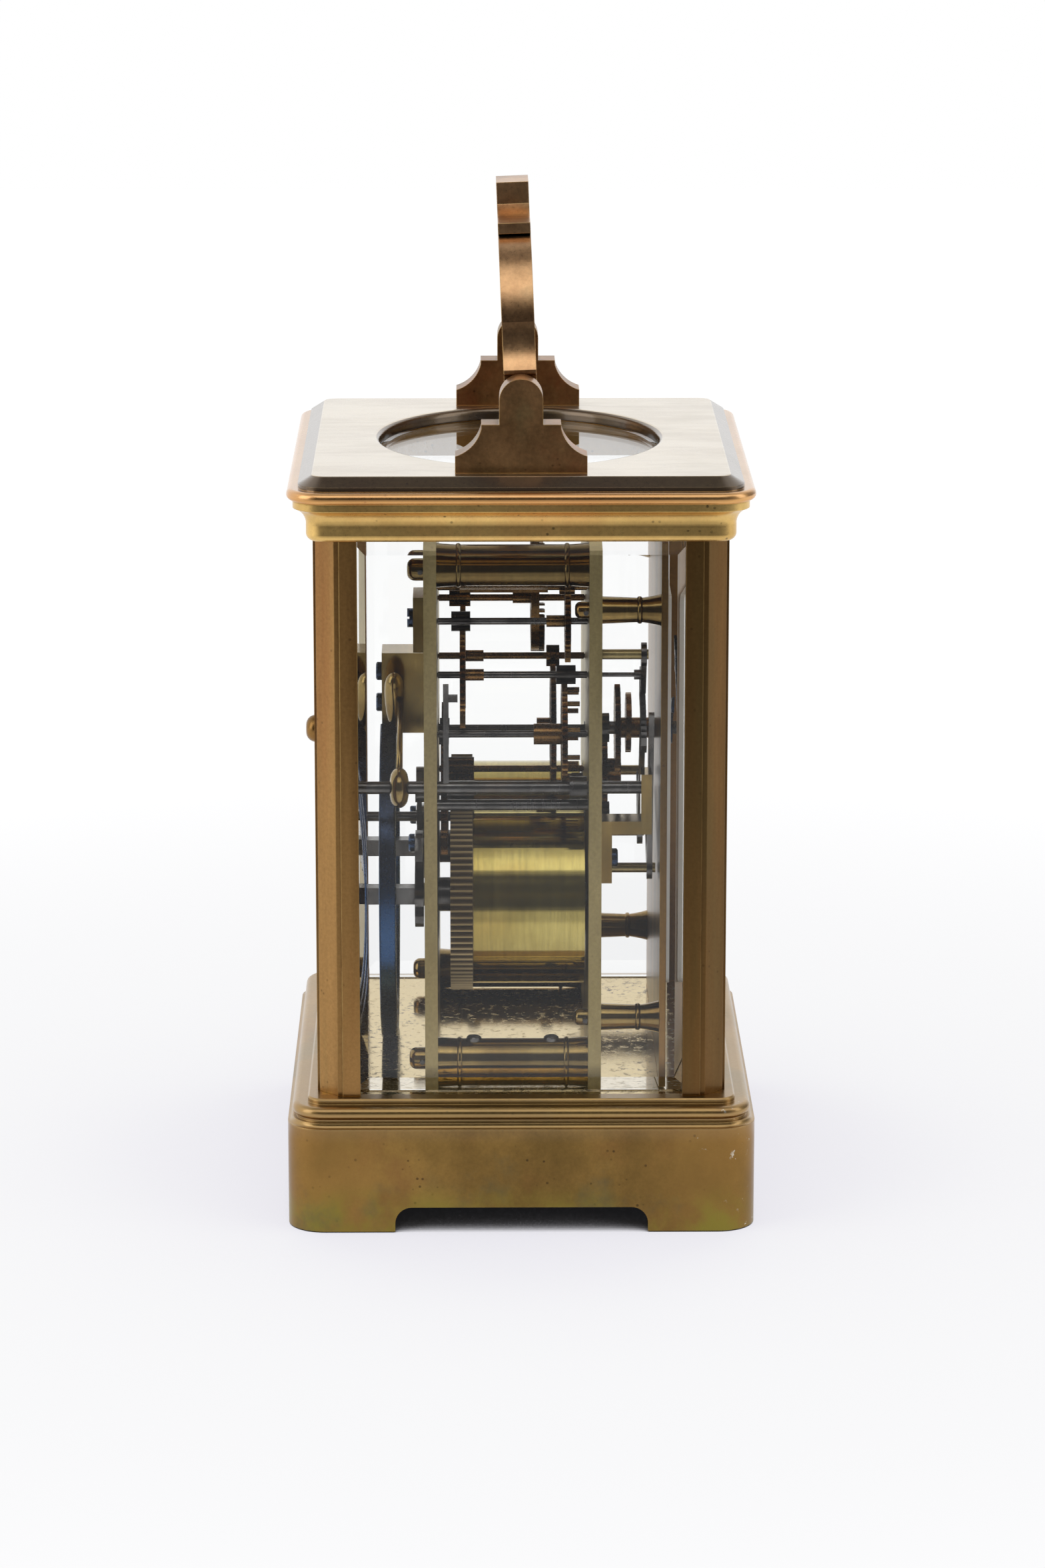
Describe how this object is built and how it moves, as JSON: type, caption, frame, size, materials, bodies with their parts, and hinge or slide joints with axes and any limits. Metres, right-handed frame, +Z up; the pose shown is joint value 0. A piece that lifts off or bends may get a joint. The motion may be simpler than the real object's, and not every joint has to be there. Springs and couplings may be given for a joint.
{
  "type": "carriage clock",
  "caption": "Glazed brass carriage clock with folding handle, oval top window, rear door, visible going and strike trains, platform escapement and hammer on a coiled gong.",
  "frame": {"origin": "middle of the underside of the base, at floor level", "axes": "+Z up, -Y towards the dial, +Y towards the rear door, +X to the right seen from the dial"},
  "size_m": [0.096, 0.084, 0.1835],
  "materials": {
    "case_brass": "aged polished brass",
    "movement_brass": "polished brass",
    "steel": "polished steel",
    "blued_steel": "blued steel",
    "glass": "bevelled clear glass",
    "enamel": "white enamel"
  },
  "bodies": {
    "case": {"base": "case_brass", "corner_pillars": "case_brass", "cornice": "case_brass", "top_glass": "glass", "side_glasses": "glass", "front_glass": "glass", "handle_brackets": "case_brass", "back_plate": "movement_brass", "front_plate": "movement_brass", "movement_pillars": "movement_brass", "dial_feet": "movement_brass", "taper_pins": "steel", "dial_mask": "movement_brass", "enamel_dial": "enamel", "gong": "blued_steel", "gong_block": "movement_brass", "platform": "movement_brass", "platform_cocks": "movement_brass", "strike_cock": "movement_brass", "rear_cock": "movement_brass", "click_springs": "steel", "movement_screws": "blued_steel"},
    "handle": {"handle": "case_brass"},
    "door": {"door_frame": "case_brass", "door_glass": "glass", "door_knob": "case_brass"},
    "strike_barrel": {"strike_barrel": "movement_brass"},
    "strike_winding": {"strike_winding_arbor": "steel"},
    "strike_second": {"strike_second_arbor": "steel", "strike_second_wheel": "movement_brass"},
    "pin_wheel": {"pin_arbor": "steel", "pin_wheel": "movement_brass"},
    "gathering": {"gathering_arbor": "steel", "gathering_wheel": "movement_brass"},
    "warning": {"warning_arbor": "steel", "warning_wheel": "movement_brass"},
    "fly": {"fly": "movement_brass"},
    "going_barrel": {"going_barrel": "movement_brass"},
    "going_winding": {"going_winding_arbor": "steel"},
    "going_second": {"going_second": "movement_brass"},
    "centre": {"centre_arbor": "steel", "centre_wheel": "movement_brass", "minute_hand": "blued_steel"},
    "third": {"third_wheel": "movement_brass"},
    "contrate": {"contrate_wheel": "movement_brass"},
    "escape": {"escape_wheel": "steel"},
    "lever": {"pallet_lever": "steel"},
    "balance": {"balance": "movement_brass", "hairspring": "blued_steel"},
    "minute_wheel": {"minute_wheel": "movement_brass"},
    "hour_wheel": {"hour_wheel": "movement_brass", "hour_hand": "blued_steel"},
    "set_arbor": {"set_arbor": "steel"},
    "hammer": {"hammer_arbor": "steel", "hammer": "movement_brass"},
    "rack": {"rack": "steel"},
    "rack_hook": {"rack_hook": "steel"},
    "lifting_piece": {"lifting_piece": "steel"},
    "strike_click": {"strike_click": "steel"},
    "going_click": {"going_click": "steel"}
  },
  "joints": [
    {"name": "handle_fold", "type": "hinge", "parent": "case", "child": "handle", "pos_m": [0, 0, 0.14934], "axis": [1, 0, 0], "range_deg": [-97.8, 102.2]},
    {"name": "door_swing", "type": "hinge", "parent": "case", "child": "door", "pos_m": [-0.0329, 0.0346, 0.0241], "axis": [0, 0, 1], "range_deg": [0, 95]},
    {"name": "strike_barrel_turn", "type": "hinge", "parent": "case", "child": "strike_barrel", "pos_m": [-0.018, 0, 0.055], "axis": [0, -1, 0], "continuous": true},
    {"name": "strike_wind", "type": "hinge", "parent": "case", "child": "strike_winding", "pos_m": [-0.018, 0, 0.055], "axis": [0, -1, 0], "continuous": true},
    {"name": "strike_second_turn", "type": "hinge", "parent": "case", "child": "strike_second", "pos_m": [-0.0175, 0, 0.07405], "axis": [0, -1, 0], "continuous": true},
    {"name": "pin_wheel_turn", "type": "hinge", "parent": "case", "child": "pin_wheel", "pos_m": [-0.02212, 0, 0.0859], "axis": [0, -1, 0], "continuous": true},
    {"name": "gathering_turn", "type": "hinge", "parent": "case", "child": "gathering", "pos_m": [-0.02406, 0, 0.09726], "axis": [0, -1, 0], "continuous": true},
    {"name": "warning_turn", "type": "hinge", "parent": "case", "child": "warning", "pos_m": [-0.02706, 0, 0.10771], "axis": [0, -1, 0], "continuous": true},
    {"name": "fly_turn", "type": "hinge", "parent": "case", "child": "fly", "pos_m": [-0.02032, 0, 0.1126], "axis": [0, -1, 0], "continuous": true},
    {"name": "going_barrel_turn", "type": "hinge", "parent": "case", "child": "going_barrel", "pos_m": [0.018, 0, 0.055], "axis": [0, -1, 0], "continuous": true},
    {"name": "going_wind", "type": "hinge", "parent": "case", "child": "going_winding", "pos_m": [0.018, 0, 0.055], "axis": [0, -1, 0], "continuous": true},
    {"name": "going_second_turn", "type": "hinge", "parent": "case", "child": "going_second", "pos_m": [0.00949, 0, 0.07206], "axis": [0, -1, 0], "continuous": true},
    {"name": "centre_turn", "type": "hinge", "parent": "case", "child": "centre", "pos_m": [0, 0, 0.08203], "axis": [0, -1, 0], "continuous": true},
    {"name": "third_turn", "type": "hinge", "parent": "case", "child": "third", "pos_m": [0.00295, 0, 0.09503], "axis": [0, -1, 0], "continuous": true},
    {"name": "contrate_turn", "type": "hinge", "parent": "case", "child": "contrate", "pos_m": [0.00346, 0, 0.10587], "axis": [0, -1, 0], "continuous": true},
    {"name": "minute_wheel_turn", "type": "hinge", "parent": "case", "child": "minute_wheel", "pos_m": [0.00361, 0, 0.07314], "axis": [0, -1, 0], "continuous": true},
    {"name": "hour_turn", "type": "hinge", "parent": "case", "child": "hour_wheel", "pos_m": [0, 0, 0.08203], "axis": [0, -1, 0], "continuous": true},
    {"name": "hand_set", "type": "hinge", "parent": "case", "child": "set_arbor", "pos_m": [-0.0027, 0, 0.0659], "axis": [0, -1, 0], "continuous": true},
    {"name": "escape_turn", "type": "hinge", "parent": "case", "child": "escape", "pos_m": [0.00346, -0.0053, 0.125], "axis": [0, 0, 1], "continuous": true},
    {"name": "lever_rock", "type": "hinge", "parent": "case", "child": "lever", "pos_m": [0.00261, -0.00047, 0.125], "axis": [0, 0, 1], "range_deg": [-5, 5]},
    {"name": "balance_swing", "type": "hinge", "parent": "case", "child": "balance", "pos_m": [0.00147, 0.00602, 0.125], "axis": [0, 0, 1], "range_deg": [-135, 135]},
    {"name": "hammer_lift", "type": "hinge", "parent": "case", "child": "hammer", "pos_m": [-0.031, 0, 0.0781], "axis": [0, -1, 0], "range_deg": [0, 14]},
    {"name": "rack_drop", "type": "hinge", "parent": "case", "child": "rack", "pos_m": [-0.01285, 0, 0.06559], "axis": [0, -1, 0], "range_deg": [-26, 0]},
    {"name": "rack_hook_lift", "type": "hinge", "parent": "case", "child": "rack_hook", "pos_m": [-0.03196, 0, 0.10266], "axis": [0, -1, 0], "range_deg": [0, 8]},
    {"name": "lifting_piece_lift", "type": "hinge", "parent": "case", "child": "lifting_piece", "pos_m": [-0.019, 0, 0.0602], "axis": [0, -1, 0], "range_deg": [0, 6]},
    {"name": "strike_click_lift", "type": "hinge", "parent": "case", "child": "strike_click", "pos_m": [-0.01091, 0, 0.06288], "axis": [0, -1, 0], "range_deg": [-15, 0]},
    {"name": "going_click_lift", "type": "hinge", "parent": "case", "child": "going_click", "pos_m": [0.01091, 0, 0.06288], "axis": [0, -1, 0], "range_deg": [0, 15]}
  ],
  "couplings": [
    {"joint": "going_second_turn", "follows": "centre_turn", "ratio": -0.13333},
    {"joint": "going_barrel_turn", "follows": "centre_turn", "ratio": 0.015152},
    {"joint": "third_turn", "follows": "centre_turn", "ratio": -6.75},
    {"joint": "contrate_turn", "follows": "centre_turn", "ratio": 45.562},
    {"joint": "escape_turn", "follows": "centre_turn", "ratio": 364.5},
    {"joint": "minute_wheel_turn", "follows": "centre_turn", "ratio": -0.33333},
    {"joint": "hour_turn", "follows": "centre_turn", "ratio": 0.083333},
    {"joint": "hand_set", "follows": "centre_turn", "ratio": 1},
    {"joint": "strike_second_turn", "follows": "pin_wheel_turn", "ratio": -0.14815},
    {"joint": "strike_barrel_turn", "follows": "pin_wheel_turn", "ratio": 0.016835},
    {"joint": "gathering_turn", "follows": "pin_wheel_turn", "ratio": -6.75},
    {"joint": "warning_turn", "follows": "pin_wheel_turn", "ratio": 40.5},
    {"joint": "fly_turn", "follows": "pin_wheel_turn", "ratio": -243}
  ]
}
